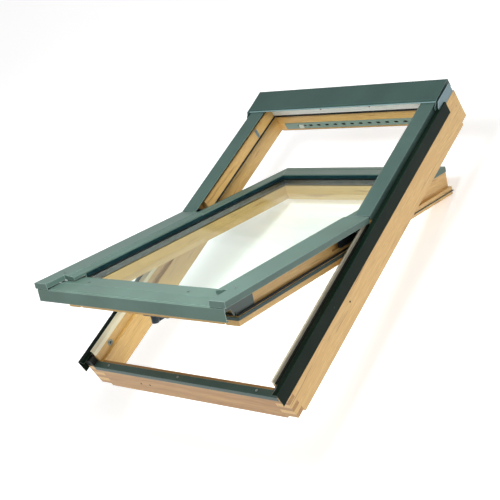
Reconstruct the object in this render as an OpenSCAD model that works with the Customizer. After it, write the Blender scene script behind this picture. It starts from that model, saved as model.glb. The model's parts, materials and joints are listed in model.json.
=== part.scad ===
// Centre-pivot roof skylight: timber frame and sash, sealed double glazing and folded
// metal covers. +Z points out of the roof and +Y up the slope. The origin is the middle
// of the frame, level with the upper lip of the metal angle round its sides.

/* [Overall] */
// Width of the timber frame
frame_w = 780; // [540:10:1140]
// Height of the timber frame, along the slope
frame_h = 1180; // [780:10:1600]
// Depth from the angle's upper lip to the timber's room face
frame_d = 118; // [104:1:150]
// Angle the sash stands open at
opening = 26.9; // [0:0.1:60]

/* [Frame timber] */
// Thickness of a side member at the room side
side_t = 49; // [40:1:70]
// Width of the step between the rebate and the room side
step_w = 10; // [6:1:16]
// Depth of the step below the lip
step_z = 41; // [36:1:50]
// Thickness of the head
head_t = 34; // [28:1:60]
// Thickness of the sill member
sill_t = 30; // [24:1:60]
// Depth of the side members' top below the lip
top_z = 12; // [9:1:20]
// Depth of the sill member's top below the lip
sill_z = 38; // [34:1:48]
// How far the side members' upper part stops short of the sill end
low_end = 23; // [16:1:29]
// Height of the outer fins below the room face
fin_h = 10; // [4:1:20]
// Thickness of the fins
fin_t = 27; // [15:1:29]
// Distance the side fins stop short of the frame's ends
fin_short = 32; // [10:1:60]
// Distance the end fins stop short of the frame's sides
fin_in = 42; // [10:1:80]
// Fingers in each comb joint, both members together
fingers = 6; // [4:2:10]

/* [Stops and seals] */
// Width of the side stops in the upper half
stop_w = 22; // [14:1:26]
// Depth of the stops' top below the lip
stop_top = 2; // [1:1:8]
// Distance of the stops' lower ends above the hinge axis
stop_y = 66; // [60:1:120]
// Thickness of the white strip on the head
strip_t = 11; // [6:1:16]
// Height of the black stop seals
stop_seal = 6; // [4:1:9]
// Width of the raised bead along the lower half's rebates
bead_w = 12; // [9:1:14]
// Height of the bead above the lip
bead_h = 8; // [5:0.5:11]
// Height of the black gasket in the groove behind the bead
groove_seal = 5; // [3:1:8]

/* [Metalwork] */
// Thickness of the folded sheet
sheet = 1.5; // [1:0.1:2]
// Space between the angle's flange and the timber
angle_gap = 2.5; // [1:0.5:6]
// Height of the angle's outer flange
angle_h = 45; // [35:1:60]
// Width of the angle's flat top
angle_top = 16; // [10:1:20]
// Width of its sloping inner lip
angle_lip = 8; // [4:1:10]
// Distance the angle runs past the sill end
angle_out = 17; // [8:1:24]
// Distance the angle's upper end stops short of the frame's head
angle_short = 68; // [40:1:120]
// Height of the side covers above the lip
cover_h = 17; // [15:0.5:22]
// Distance of the covers' outer face from the frame's side
cover_in = 15; // [13:0.5:20]
// Width of the upper covers' flat top
cover_w = 47; // [40:1:54]
// Width of the upper covers' sloping inner band
band_w = 9; // [6:0.5:12]
// Drop of that band
band_drop = 4.5; // [2:0.5:5]
// Gap between the upper and lower covers at the hinge axis
cover_gap = 3; // [2:0.5:6]
// Distance the covers' upper ends stop short of the frame's head
cover_short = 85; // [60:1:110]
// Height of the hood above the side covers
hood_h = 14; // [14:1:28]
// Length of the hood along the slope
hood_len = 91; // [88:1:140]
// Distance of the hood's ends inside the frame's sides
hood_in = 9; // [8.5:0.5:10]
// Fall of the hood's top towards its front
hood_fall = 5; // [0:0.5:8]
// Distance the sill cover stands in from the frame's sides
sill_in = 28; // [26:1:40]
// Width of the bare timber strip behind the sill cover
bare_w = 9; // [4:1:14]
// Height of the sill cover's front flange
sill_flange = 15; // [10:1:24]

/* [Sash timber] */
// Clearance between the sash's lip and the side members
lip_gap = 5; // [4:0.5:8]
// Clearance between the sash's lip and the sill member
foot_gap = 11; // [9:0.5:16]
// Clearance between the sash's lip and the head
head_gap = 29; // [22:1:40]
// Width of the ledge over the lip
ledge_w = 12; // [8:1:16]
// Depth of the sash timber's top below the frame's lip
sash_top = 6; // [5:0.5:9]
// Depth of the ledge
ledge_z = 58; // [56:1:66]
// Depth of the sash's room face
sash_z = 84; // [78:1:100]
// Visible width of the stiles
stile_w = 44; // [36:1:60]
// Width of the sash's head
sash_head_w = 83; // [40:1:100]
// Width of the sash's foot
sash_foot_w = 29; // [24:1:60]
// Width of the chamfer round the inside edge
chamfer = 9; // [2:1:14]

/* [Glazing] */
// Depth of the glass's outer face below the frame's lip
glass_z = 7; // [6:0.5:10]
// Thickness of each pane
pane_t = 4; // [3:1:6]
// Width of the sealed space between the panes
space_t = 16; // [10:1:18]
// Depth the glass is let into the timber
bite = 12; // [8:1:16]
// Play round the glass's edge
glass_play = 1; // [0.5:0.5:3]

/* [Sash cladding] */
// Height of the upper cladding above the lip
trim_h = 9.5; // [8:0.5:10.5]
// Distance the lower covers run past the sill end
cover_out = 33; // [30:1:40]
// Height of the foot cladding's front flange
foot_flange = 37; // [24:1:40]
// Distance of the foot cladding's wide part from the frame's sides
foot_in = 22; // [21.5:0.5:30]
// Width of the bead at the glass
foot_bead = 9; // [6:1:14]
// Distance of the cross ridge beyond the sash's foot
ridge_out = 18; // [14:1:24]

/* [Hinges] */
// Distance of the hinge axis up the slope from the frame's middle
axis_y = 15.2; // [-40:0.2:80]
// Inner radius of the curved track
track_r = 30; // [22:1:32]
// Radial thickness of the track
track_w = 14; // [8:1:15]
// Radial thickness of the claw round the track
claw_w = 7; // [4:0.5:8]
// Running clearance of the hub in the track
hub_play = 0.1; // [0.05:0.01:0.1]
// Clearance of the claw round the track
claw_play = 0.5; // [0.3:0.1:1]
// Thickness of the hinge plates
plate_t = 2.5; // [2:0.5:3]
// Length of the sash plate below the axis
plate_low = 99; // [70:1:130]
// Length of the sash plate above the axis
plate_up = 17; // [5:1:40]

/* [Fittings] */
// Length of the handle's base
grip_base = 107; // [80:1:140]
// Distance of the base's right end from the middle
grip_right = 75; // [40:1:110]
// Place of the handle's spindle across the sash
grip_x = 4; // [-20:1:30]
// Radius of the handle's hub
grip_r = 11; // [8:0.5:12]
// Length of the lever from the spindle
lever_len = 88; // [60:1:120]
// Drop of the handle below the room face
grip_drop = 27; // [20:1:34]
// Radius of the cleaning bolt
bolt_r = 4; // [3:0.5:5]
// Running clearance of the bolt
bolt_play = 0.1; // [0.05:0.01:0.1]
// Depth of the bolt's bush below the lip
bush_z = 27; // [24:1:30]
// Radius of the bush
bush_r = 10; // [8:0.5:12]
// Length of the vent grille
vent_len = 628; // [380:1:700]
// Height of the vent grille
vent_h = 25; // [18:1:26]
// Distance of the grille above the room face
vent_up = 5; // [3:1:10]
// Pitch of the vent holes
vent_pitch = 35.5; // [28:0.5:48]
// Width of the corner plates on the sash's foot
corner_t = 3; // [2:0.5:4]
// Length the corner plates reach past the sash timber
corner_out = 63; // [40:1:66]

/* [Hidden] */
$fn = 48;
hx = frame_w / 2;
hy = frame_h / 2;
room_x = hx - side_t;               // room-side face of a side member
rebate_x = room_x + step_w;         // face of its rebate
sill_y = -hy + sill_t;              // inner face of the sill member
head_y = hy - head_t;               // inner face of the head
up_y = -hy + low_end;               // where the side members' upper part starts
axis_z = cover_h + 0.5;             // hinge axis, just over the covers' tops
hood_top = cover_h + hood_h;
stop_x = rebate_x - stop_w;         // room-side face of the stops
stop_low = axis_y + stop_y;
strip_y = head_y - strip_t;         // face of the white strip
cover_x = hx - cover_in;            // outer face of the side covers
cover_y = axis_y + cover_gap / 2;
cover_top = hy - cover_short;
angle_x = hx + angle_gap + sheet;   // outer face of the angle
lip_x = angle_x - angle_top;        // where the angle's lip starts to slope
lip_hx = room_x - lip_gap;          // half width over the sash's lips
body_hx = lip_hx - ledge_w;         // half width of the sash above the ledge
lip_low = sill_y + foot_gap;
lip_up = head_y - head_gap;
body_low = lip_low + ledge_w;
body_up = lip_up - 3;
open_hx = body_hx - stile_w;        // clear opening of the sash
open_low = body_low + sash_foot_w;
open_up = body_up - sash_head_w;
unit_t = 2 * pane_t + space_t;      // sealed unit
glass_hx = open_hx + bite;
glass_low = open_low - bite;
glass_up = open_up + bite;
trim_hx = body_hx + sheet;
front_y = -hy - cover_out;          // front of the sash's cladding
ridge_y = lip_low - ridge_out;
inner_low = lip_low - 3;            // where the covers' inner part ends
hinge_top = trim_h - 0.5;           // flat top of the hinge parts
claw_in = track_r + track_w + claw_play;
claw_out = claw_in + claw_w;
knob_x = -vent_len / 2 + 74;
vent_z = -frame_d + vent_up + vent_h / 2;
vent_n = floor((vent_len / 2 - 38 - (knob_x + 38)) / vent_pitch) + 1;
shutter_y = head_y + 0.5;
grip_y = lip_low + 5 + grip_r;
bolt_y = body_up + bolt_r + 2;      // cleaning bolt, on the sash's head
bolt_z = -ledge_z + bolt_r + 3;
swing_r = norm([bolt_y - axis_y, bolt_z - axis_z]);
bush_y = axis_y - sqrt(swing_r * swing_r - (bush_z + axis_z) * (bush_z + axis_z));
corner_low = body_low - corner_out;

wood = [0.80, 0.66, 0.46];
metal = [0.33, 0.42, 0.40];
dark = [0.12, 0.17, 0.16];
black = [0.06, 0.07, 0.07];
steel = [0.55, 0.60, 0.62];

// One point of a bend: corner b between a and c, rounded to radius r in n steps.
function corner(a, b, c, r, n) = r <= 0 ? [b] :
    let (u = (a - b) / norm(a - b), v = (c - b) / norm(c - b), w = acos(max(-1, min(1, u * v))))
    w > 179 ? [b] :
    let (t = min(r / tan(w / 2), norm(a - b) * 0.49, norm(c - b) * 0.49), q = t * tan(w / 2),
        m = b + (u + v) / norm(u + v) * q / sin(w / 2), p = b + u * t - m,
        s = u[0] * v[1] - u[1] * v[0] < 0 ? 1 : -1)
    [for (i = [0:n]) let (g = s * (180 - w) * i / n)
        m + [p[0] * cos(g) - p[1] * sin(g), p[0] * sin(g) + p[1] * cos(g)]];

// Closed outline with each corner rounded by its third number.
function soft(p, n = 3) = [for (i = [0:len(p) - 1]) let (k = len(p), a = p[(i + k - 1) % k],
    b = p[i], c = p[(i + 1) % k])
    each corner([a[0], a[1]], [b[0], b[1]], [c[0], c[1]], len(b) > 2 ? b[2] : 0, n)];

function way(p, i) = (p[i + 1] - p[i]) / norm(p[i + 1] - p[i]);
function left(d) = [-d[1], d[0]];
function turn(p, i) = way(p, i - 1)[0] * way(p, i)[1] - way(p, i - 1)[1] * way(p, i)[0];
function shift(p, i, t) = i == 0 ? p[0] + t * left(way(p, 0)) :
    i == len(p) - 1 ? p[i] + t * left(way(p, i - 1)) :
    let (a = left(way(p, i - 1)), b = left(way(p, i)), m = (a + b) / norm(a + b)) p[i] + m * t / (m * a);

// Face q of a folded sheet whose outline is p; k is 1 on the outline and -1 on the far face.
function bent(p, q, t, r, k, n = 3) = [for (i = [0:len(q) - 1])
    each i == 0 || i == len(q) - 1 ? [q[i]] :
        corner(q[i - 1], q[i], q[i + 1], turn(p, i) * t * k > 0 ? r + abs(t) : r, n)];

// Folded sheet of thickness t, to the left of path p, or to its right when t is negative.
module fold(p, t = sheet, r = 0.8)
    let (q = [for (i = [0:len(p) - 1]) shift(p, i, t)], a = bent(p, p, t, r, 1), b = bent(p, q, t, r, -1))
        polygon(concat(a, [for (i = [len(b) - 1:-1:0]) b[i]]));

// Section drawn in X and Z, run along Y.
module along(y0, y1) translate([0, y1, 0]) rotate([90, 0, 0]) linear_extrude(y1 - y0) children();

// Section drawn in Y and Z, run along X.
module across(x0, x1) translate([x0, 0, 0]) rotate([90, 0, 90]) linear_extrude(x1 - x0) children();

module block(a, b) translate([min(a[0], b[0]), min(a[1], b[1]), min(a[2], b[2])])
    cube([abs(b[0] - a[0]), abs(b[1] - a[1]), abs(b[2] - a[2])]);

module pair() { children(); mirror([1, 0, 0]) children(); }
module swung() translate([0, axis_y, axis_z]) rotate([-opening, 0, 0]) translate([0, -axis_y, -axis_z])
    children();

// Round piece on an axis along X, Y or Z.
module rod_x(x0, x1, y, z, r) translate([x0, y, z]) rotate([0, 90, 0]) cylinder(h = x1 - x0, r = r);
module rod_y(y0, y1, x, z, r) translate([x, y1, z]) rotate([90, 0, 0]) cylinder(h = y1 - y0, r = r);
module rod_z(z0, z1, x, y, r) translate([x, y, z0]) cylinder(h = z1 - z0, r = r);

// ---- frame timber ----
comb_h = (frame_d - sill_z) / fingers;

// Alternate fingers of one corner joint, numbered down from the sill's top.
module comb(first, y0, y1) for (i = [first:2:fingers - 1])
    block([room_x, y0, -sill_z - i * comb_h], [hx, y1, -sill_z - (i + 1) * comb_h]);

module frame_side(bushed) color(wood) difference() {
    union() {
        along(up_y, hy) polygon(soft([[room_x, -frame_d, 2], [hx - fin_t, -frame_d], [hx, -frame_d],
            [hx, -top_z, 1], [rebate_x, -top_z], [rebate_x, -step_z], [room_x, -step_z, 1]]));
        block([room_x, -hy, -frame_d], [hx, up_y, -sill_z]);
        block([hx - fin_t, -hy + fin_short, -frame_d - fin_h], [hx, hy - fin_short, -frame_d]);
    }
    comb(1, -hy, sill_y);
    comb(1, head_y, hy);
    if (bushed) {
        rod_x(rebate_x, rebate_x + 14, bush_y, -bush_z, bush_r - 2);
        rod_x(room_x - 1, rebate_x + 8, bolt_y, bolt_z, bolt_r + 0.6);
    }
}

module frame_side_left() mirror([1, 0, 0]) frame_side(true);
module frame_side_right() frame_side(false);

module frame_head() color(wood) difference() {
    union() {
        block([-room_x, head_y, -frame_d], [room_x, hy, -top_z]);
        pair() block([room_x, head_y, -step_z], [rebate_x, hy, -top_z]);
        pair() comb(1, head_y, hy);
        block([-hx + fin_in, hy - fin_t, -frame_d - fin_h], [hx - fin_in, hy, -frame_d]);
    }
    block([-vent_len / 2 + 8, head_y - 1, vent_z - vent_h / 2 + 4],
        [vent_len / 2 - 8, head_y + 5, vent_z + vent_h / 2 - 4]);
}

module frame_sill() color(wood) {
    across(-room_x, room_x) polygon(soft([[-hy, -frame_d], [-hy + fin_t, -frame_d], [sill_y, -frame_d, 2],
        [sill_y, -sill_z, 1], [-hy, -sill_z]]));
    pair() comb(1, -hy, sill_y);
    block([-hx + fin_in, -hy, -frame_d - fin_h], [hx - fin_in, -hy + fin_t, -frame_d]);
}

// ---- stops, seals and beads ----
module stop() color(wood) along(stop_low, head_y) polygon(soft([[stop_x, -step_z],
    [rebate_x, -step_z], [rebate_x, -stop_top, 1], [stop_x, -stop_top, 3]]));
module stop_left() mirror([1, 0, 0]) stop();
module stop_right() stop();

module stop_seals() color(black) {
    pair() along(stop_low, strip_y) polygon(soft([[stop_x + 3, -step_z], [stop_x - 2, -step_z - 1],
        [stop_x - 3, -step_z - stop_seal, 1], [stop_x + 4, -step_z - stop_seal, 1],
        [stop_x + 5, -step_z]]));
    across(-stop_x - 3, stop_x + 3) polygon(soft([[strip_y, -step_z], [strip_y - 3, -step_z - 1],
        [strip_y - 3, -step_z - stop_seal, 1], [strip_y + 4, -step_z - stop_seal, 1],
        [strip_y + 5, -step_z]]));
}

module bead() color([0.90, 0.90, 0.84]) along(up_y, axis_y - 5) polygon(soft([
    [rebate_x, -top_z], [rebate_x + bead_w - 4.5, -top_z], [rebate_x + bead_w - 4.5, bead_h - 4],
    [rebate_x + bead_w, bead_h - 3], [rebate_x + bead_w, bead_h, 1], [rebate_x + bead_w - 3, bead_h, 1],
    [rebate_x, 1, 0.5]]));
module bead_left() mirror([1, 0, 0]) bead();
module bead_right() bead();

module groove_seals() color(black) pair() along(up_y, axis_y - 5) polygon(soft([
    [rebate_x + bead_w - 4, -top_z], [rebate_x + bead_w + 3, -top_z],
    [rebate_x + bead_w + 3, -top_z + groove_seal, 1.5], [rebate_x + bead_w - 4, -top_z + groove_seal, 1]]));

// ---- metal angle along each side ----
module angle() color(dark) along(-hy - angle_out, hy - angle_short) fold([
    [hx, -angle_h], [angle_x, -angle_h], [angle_x, 0], [lip_x, 0], [lip_x - angle_lip, -angle_lip * 0.75]]);
module angle_left() mirror([1, 0, 0]) angle();
module angle_right() angle();

module angle_packers() color(black) pair() block([lip_x + 1.5, -hy, -top_z],
    [angle_x - sheet - 2.5, hy - angle_short, -sheet]);

module corner_blocks() color(black) pair() block([hx - sill_in, -hy, -sill_z], [hx, up_y, -top_z]);

// ---- fixed covers of the upper half ----
module upper_cover() color(metal) along(cover_y, cover_top) fold([[cover_x, -1],
    [cover_x, cover_h], [cover_x - cover_w, cover_h],
    [cover_x - cover_w - band_w, cover_h - band_drop]]);
module upper_cover_left() mirror([1, 0, 0]) upper_cover();
module upper_cover_right() upper_cover();

module cover_clips() color(black) pair() for (f = [0.12, 0.5, 0.9])
    let (y = stop_low + (cover_top - stop_low) * f)
        block([rebate_x + 1, y - 20, -top_z], [rebate_x + 15, y + 20, cover_h - sheet]);

// ---- hood over the head ----
hood_front = hy + 5 - hood_len;
function hood_z(y) = hood_top - hood_fall * (hy + 5 - y) / hood_len;

module hood() color([0.27, 0.36, 0.34]) {
    across(-hx + hood_in, hx - hood_in) fold([[hood_front - 4, hood_z(hood_front) - 8],
        [hood_front, hood_z(hood_front)], [hy + 5, hood_top], [hy + 5, -top_z - 4]], t = -sheet);
    pair() across(hx - hood_in, hx - hood_in + sheet) polygon(soft([[hy + 5, 2], [hy + 5, hood_top],
        [hood_front, hood_z(hood_front), 3], [hood_front - 26, hood_z(hood_front) - 12, 3],
        [hood_front - 30, 6, 2], [hood_front - 4, 2]]));
}

module hood_blocks() color(black) across(-rebate_x + 20, rebate_x - 20) polygon([[head_y + 6, -top_z],
    [hy - 2, -top_z], [hy - 2, hood_z(hy - 2) - sheet - 0.02],
    [head_y + 6, hood_z(head_y + 6) - sheet - 0.02]]);

module hood_brackets() color(steel) pair() across(hx - 3, hx - 1) polygon(soft([
    [hy - angle_short - 37, 0], [hy - angle_short, 0], [hy - angle_short, -top_z], [hy - 6, -top_z],
    [hy - 6, hood_top - 9, 3], [hy - 92, hood_top - 9, 3], [hy - angle_short - 37, 7, 2]]));

// ---- head strip, sill cover and vent ----
module head_strip() color([0.93, 0.94, 0.93]) across(-stop_x, stop_x) polygon(soft([
    [strip_y, -step_z, 1], [head_y, -step_z], [head_y, -stop_top - 2], [strip_y, -stop_top - 2, 2]]));

module sill_cover() color(metal) {
    across(-room_x, room_x) sill_fold();
    pair() across(room_x, hx - sill_in) sill_fold();
}
module sill_fold() fold([[sill_y - bare_w, -sill_z + sheet], [-hy - sheet, -sill_z + sheet],
    [-hy - sheet, -sill_z + sheet - sill_flange]], r = 0);

// Round-ended hole cut through the grille or its shutter.
module port(x, y0, y1) { rod_y(y0, y1, x - 4, vent_z, 4.5); rod_y(y0, y1, x + 4, vent_z, 4.5);
    block([x - 4, y0, vent_z - 4.5], [x + 4, y1, vent_z + 4.5]); }

module vent_grille() color([0.42, 0.49, 0.45]) difference() {
    across(-vent_len / 2, vent_len / 2) polygon(soft([[head_y - 3, vent_z - vent_h / 2, 1],
        [head_y, vent_z - vent_h / 2], [head_y, vent_z + vent_h / 2], [head_y - 3, vent_z + vent_h / 2, 1]]));
    for (i = [0:vent_n - 1]) port(knob_x + 38 + i * vent_pitch, head_y - 4, head_y + 1);
    block([knob_x - 20, head_y - 4, vent_z - 3], [knob_x + 20, head_y + 1, vent_z + 3]);
}

module vent_slider() color([0.86, 0.88, 0.86]) {
    difference() {
        block([-vent_len / 2 + 24, shutter_y, vent_z - vent_h / 2 + 5],
            [vent_len / 2 - 24, shutter_y + 2, vent_z + vent_h / 2 - 5]);
        for (i = [0:vent_n - 1]) port(knob_x + 38 + i * vent_pitch, shutter_y - 1, shutter_y + 3);
    }
    block([knob_x - 4, head_y - 4, vent_z - 2.5], [knob_x + 4, shutter_y, vent_z + 2.5]);
    block([knob_x - 9, head_y - 8, vent_z - 7], [knob_x + 9, head_y - 4, vent_z + 7]);
}

// ---- hinge tracks ----
module under(top) difference() { children();
    block([-2 * hx, axis_y - hy, top], [2 * hx, axis_y + hy, top + 400]); }

module track() color(dark) under(hinge_top) {
    difference() {
        union() {
            rod_x(rebate_x - plate_t, rebate_x, axis_y, axis_z, claw_out + 3.5);
            rod_x(rebate_x - plate_t - 10, rebate_x - plate_t, axis_y, axis_z, track_r + track_w);
        }
        rod_x(rebate_x - plate_t - 11, rebate_x - plate_t, axis_y, axis_z, track_r);
    }
}
module track_left() mirror([1, 0, 0]) track();
module track_right() track();

module bolt_bush() color([0.50, 0.54, 0.52]) mirror([1, 0, 0]) difference() {
    union() {
        rod_x(rebate_x - 1.5, rebate_x, bush_y, -bush_z, bush_r);
        rod_x(rebate_x, rebate_x + 14, bush_y, -bush_z, bush_r - 2);
    }
    rod_x(rebate_x - 2, rebate_x + 10, bush_y, -bush_z, bolt_r + 0.6);
}

module stop_plate() color(steel) mirror([1, 0, 0])
    block([stop_x - 1.5, cover_top - 78, -step_z + 4], [stop_x, cover_top - 66, -stop_top - 4]);

module sill_keeper() color(steel) difference() {
    block([grip_x - 22, sill_y, -sash_z - 4], [grip_x + 22, sill_y + 2, -sash_z + 24]);
    block([grip_x - 12, sill_y - 1, -sash_z + 4], [grip_x + 12, sill_y + 3, -sash_z + 12]);
}

module frame_screws() color(steel) {
    for (x = [-room_x * 0.33, room_x * 0.26]) rod_y(strip_y - 1.2, strip_y, x, -step_z / 2 - 1, 3.5);
    for (x = [-room_x * 0.89, -room_x * 0.03, room_x * 0.84])
        rod_z(-sill_z + sheet, -sill_z + sheet + 1.5, x, (sill_y - bare_w - hy) / 2 + 1, 4);
    pair() rod_x(angle_x, angle_x + 1, -hy + 300, -angle_h / 2, 3);
}

module frame_nails() color([0.35, 0.28, 0.2]) {
    for (x = [-room_x * 0.56, -room_x * 0.45]) rod_y(-hy - 0.6, -hy, x, -frame_d + 30, 3);
    pair() rod_x(hx, hx + 0.6, -hy + 363, -71, 3);
}

// ---- sash timber ----
module stile() color(wood) difference() {
    union() {
        along(body_low, body_up) polygon(soft([[open_hx, -ledge_z], [body_hx, -ledge_z],
            [body_hx, -sash_top, 1], [glass_hx + glass_play, -sash_top],
            [glass_hx + glass_play, -glass_z - unit_t], [open_hx, -glass_z - unit_t, 1]]));
        along(lip_low, lip_up) polygon(soft([[open_hx + chamfer, -sash_z, 1], [lip_hx, -sash_z, 1.5],
            [lip_hx, -ledge_z, 1], [open_hx, -ledge_z], [open_hx, -ledge_z - 2, 2]]));
    }
    block([body_hx - 9, axis_y - plate_low - 30, -24], [body_hx + 1, axis_y - 34, -44]);
}
module stile_left() swung() mirror([1, 0, 0]) stile();
module stile_right() swung() stile();

// Cross rail of the sash: y0 is its opening side, y1 its body face and y2 its lip face.
module rail(y0, y1, y2) let (s = y1 > y0 ? 1 : -1) {
    across(-open_hx, open_hx) {
        polygon([[y0, -ledge_z], [y1, -ledge_z], [y1, -sash_top],
            [y0 + s * (bite + glass_play), -sash_top], [y0 + s * (bite + glass_play), -glass_z - unit_t],
            [y0, -glass_z - unit_t]]);
        polygon(soft([[y0 + s * chamfer, -sash_z, 1], [y2, -sash_z, 1.5], [y2, -ledge_z, 1],
            [y0, -ledge_z], [y0, -ledge_z - 2, 2]]));
    }
    pair() across(open_hx, glass_hx + glass_play) polygon([[y0 + s * (bite + glass_play), -sash_top],
        [y1, -sash_top], [y1, -glass_z - unit_t], [y0 + s * (bite + glass_play), -glass_z - unit_t]]);
}
module sash_head() swung() color(wood) rail(open_up, body_up, lip_up);
module sash_foot() swung() color(wood) rail(open_low, body_low, lip_low);

// ---- sealed unit ----
module pane(top) block([-glass_hx, glass_low, top - pane_t], [glass_hx, glass_up, top]);
module outer_pane() swung() color([0.8, 0.88, 0.86, 0.35]) pane(-glass_z);
module inner_pane() swung() color([0.8, 0.88, 0.86, 0.35]) pane(-glass_z - pane_t - space_t);
module pane_spacer() swung() color([0.35, 0.37, 0.37]) difference() {
    block([-glass_hx, glass_low, -glass_z - pane_t - space_t], [glass_hx, glass_up, -glass_z - pane_t]);
    block([-open_hx - 1, open_low - 1, -glass_z - unit_t], [open_hx + 1, open_up + 1, 0]);
}

// ---- covers on the sash ----
bead_x = open_hx + 22;              // groove along the lower covers

// Section of a lower cover; its inner wall goes down to z = low.
module lower_profile(low) fold([[cover_x, -1], [cover_x, cover_h], [bead_x + 4, cover_h],
    [bead_x + 2, cover_h - 2.5], [bead_x - 2, cover_h - 2.5], [bead_x - 4, cover_h - 1.5],
    [open_hx + 3, cover_h - 4], [open_hx, cover_h - 6], [open_hx, low]]);

module lower_cover() color(metal) {
    along(open_low + 1, axis_y - cover_gap / 2) lower_profile(-glass_z);
    along(inner_low, open_low + 1) lower_profile(2);
    along(front_y, inner_low) fold([[cover_x, -1], [cover_x, cover_h], [body_hx - 2, cover_h],
        [body_hx - 4, 2.5]]);
    along(front_y, front_y + sheet) polygon(soft([[cover_x, -1], [cover_x, cover_h, 1.2],
        [body_hx - 2, cover_h, 1.2], [body_hx - 4, -1]]));
    along(inner_low, inner_low + sheet) polygon([[open_hx + 0.2, 2], [body_hx - 2, 2],
        [body_hx - 2, cover_h - 1], [bead_x + 4, cover_h - 1], [bead_x + 2, cover_h - 3],
        [bead_x - 2, cover_h - 3], [open_hx + 3, cover_h - 5], [open_hx + 0.2, cover_h - 7]]);
}
module lower_cover_left() swung() mirror([1, 0, 0]) lower_cover();
module lower_cover_right() swung() lower_cover();

// Side and head trims meet on a mitre that follows their two widths.
mitre = (sash_head_w + sheet) / (stile_w + sheet);
module trim() color([0.36, 0.45, 0.42]) difference() {
    along(axis_y + 0.5, body_up + sheet) fold([[trim_hx, -9], [trim_hx, trim_h], [trim_hx - 14, trim_h],
        [trim_hx - 15, trim_h - 1.5], [trim_hx - 19, trim_h - 1.5], [trim_hx - 20, trim_h],
        [open_hx + 2.5, trim_h], [open_hx, trim_h - 2.5], [open_hx, -glass_z]]);
    translate([0, 0, -60]) linear_extrude(120) polygon([[open_hx - 20, open_up - 20 * mitre],
        [trim_hx + 1, body_up + sheet + mitre], [open_hx - 20, body_up + 80]]);
}
module trim_left() swung() mirror([1, 0, 0]) trim();
module trim_right() swung() trim();

module trim_head() swung() color([0.36, 0.45, 0.42]) intersection() {
    let (g = body_up + sheet)
        across(-trim_hx, trim_hx) fold([[open_up, -glass_z], [open_up, trim_h - 2.5],
            [open_up + 2.5, trim_h], [g - 20 * mitre, trim_h], [g - 19 * mitre, trim_h - 1.5],
            [g - 15 * mitre, trim_h - 1.5], [g - 14 * mitre, trim_h], [g, trim_h], [g, -9]],
            t = -sheet);
    translate([0, 0, -60]) linear_extrude(120) polygon([[-open_hx + 20, open_up - 20 * mitre],
        [open_hx - 20, open_up - 20 * mitre], [trim_hx + 1, body_up + sheet + mitre],
        [-trim_hx - 1, body_up + sheet + mitre]]);
}

// The foot cladding is narrow beside the frame's rebates and wide beyond their ends.
foot_front = [[ridge_y - 3, -0.5], [front_y + 12, -1.5], [front_y + 10.5, -3.5], [front_y + 7.5, -3.5],
    [front_y + 6, -2], [front_y, -3], [front_y, -3 - foot_flange], [front_y + 8, -3 - foot_flange]];
foot_back = open_low - foot_bead - 2;
function foot_top(y) = -glass_z + 5 + (foot_back - y) / (foot_back - ridge_y - 3) * (glass_z - 5.5);

module foot_cladding() swung() color([0.36, 0.45, 0.42]) {
    across(-body_hx + 6, body_hx - 6) fold(concat([[open_low, -sash_top], [open_low, -glass_z + 3.5],
        [open_low - foot_bead, -glass_z + 3.5], [foot_back, -glass_z + 5], [ridge_y + 3, -0.5],
        [ridge_y, 1]], foot_front));
    pair() across(body_hx - 6, hx - foot_in) fold(foot_front);
}

module cover_packers() swung() color(black) pair()
    block([glass_hx + glass_play + 1, open_low + 4, -sash_top], [body_hx - 1, axis_y - 20, cover_h - 4]);

// ---- seals on the sash ----
module glass_seal() swung() color(black)
    block([-open_hx + sheet, open_low - 6, -glass_z], [open_hx - sheet, open_low - 0.5, -sash_top]);

module ledge_seals() swung() color(black) {
    pair() along(body_low - 6, axis_y - 40) polygon(soft([[body_hx + 4, -ledge_z],
        [body_hx + 10, -ledge_z], [body_hx + 9, -ledge_z + 5, 2], [body_hx + 5, -ledge_z + 5, 2]]));
    across(-body_hx + 1, body_hx - 1) polygon(soft([[body_low - 8, -ledge_z], [body_low - 3, -ledge_z],
        [body_low - 3.5, -ledge_z + 5, 1.5], [body_low - 7.5, -ledge_z + 5, 1.5]]));
}

module side_seals() swung() color([0.38, 0.46, 0.48]) {
    pair() block([lip_hx, lip_low, -ledge_z - 10], [lip_hx + 2.5, axis_y - 45, -ledge_z - 1]);
    block([-lip_hx, lip_low - 2.5, -ledge_z - 10], [lip_hx, lip_low, -ledge_z - 1]);
}

module head_seal() swung() color([0.38, 0.46, 0.48]) {
    pair() block([lip_hx, axis_y + 25, -ledge_z - 15], [lip_hx + 3.5, lip_up + 4, -ledge_z - 13]);
    block([-lip_hx, lip_up, -ledge_z - 15], [lip_hx, lip_up + 4, -ledge_z - 13]);
}

module corner_plates() swung() color(dark) pair() difference() {
    across(body_hx, body_hx + corner_t) polygon(soft([[corner_low, -10, 2], [body_low + 67, -10, 2],
        [body_low + 67, -ledge_z + 2, 4], [lip_low - 1, -ledge_z + 2, 4], [sill_y, -sill_z + 5, 3],
        [corner_low, -sill_z + 5, 3]]));
    block([body_hx - 1, lip_low, -ledge_z + 1], [body_hx + corner_t + 1, lip_low + 7, -ledge_z + 14]);
}

// ---- hinge hubs on the sash ----
module hub() color(dark) {
    across(body_hx, body_hx + plate_t) polygon(soft([[axis_y - plate_low, -47, 8],
        [axis_y + plate_up, -47, 8], [axis_y + plate_up, -15, 4], [axis_y - plate_low, -15, 8]]));
    under(-10) rod_x(body_hx, body_hx + plate_t, axis_y, axis_z, claw_out);
    under(hinge_top) {
        rod_x(body_hx + plate_t, rebate_x - plate_t - 1, axis_y, axis_z, track_r - hub_play);
        difference() {
            rod_x(body_hx + plate_t, rebate_x - plate_t - 1, axis_y, axis_z, claw_out);
            rod_x(body_hx + plate_t - 1, rebate_x, axis_y, axis_z, claw_in);
        }
    }
}
module hub_left() swung() mirror([1, 0, 0]) hub();
module hub_right() swung() hub();

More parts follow.
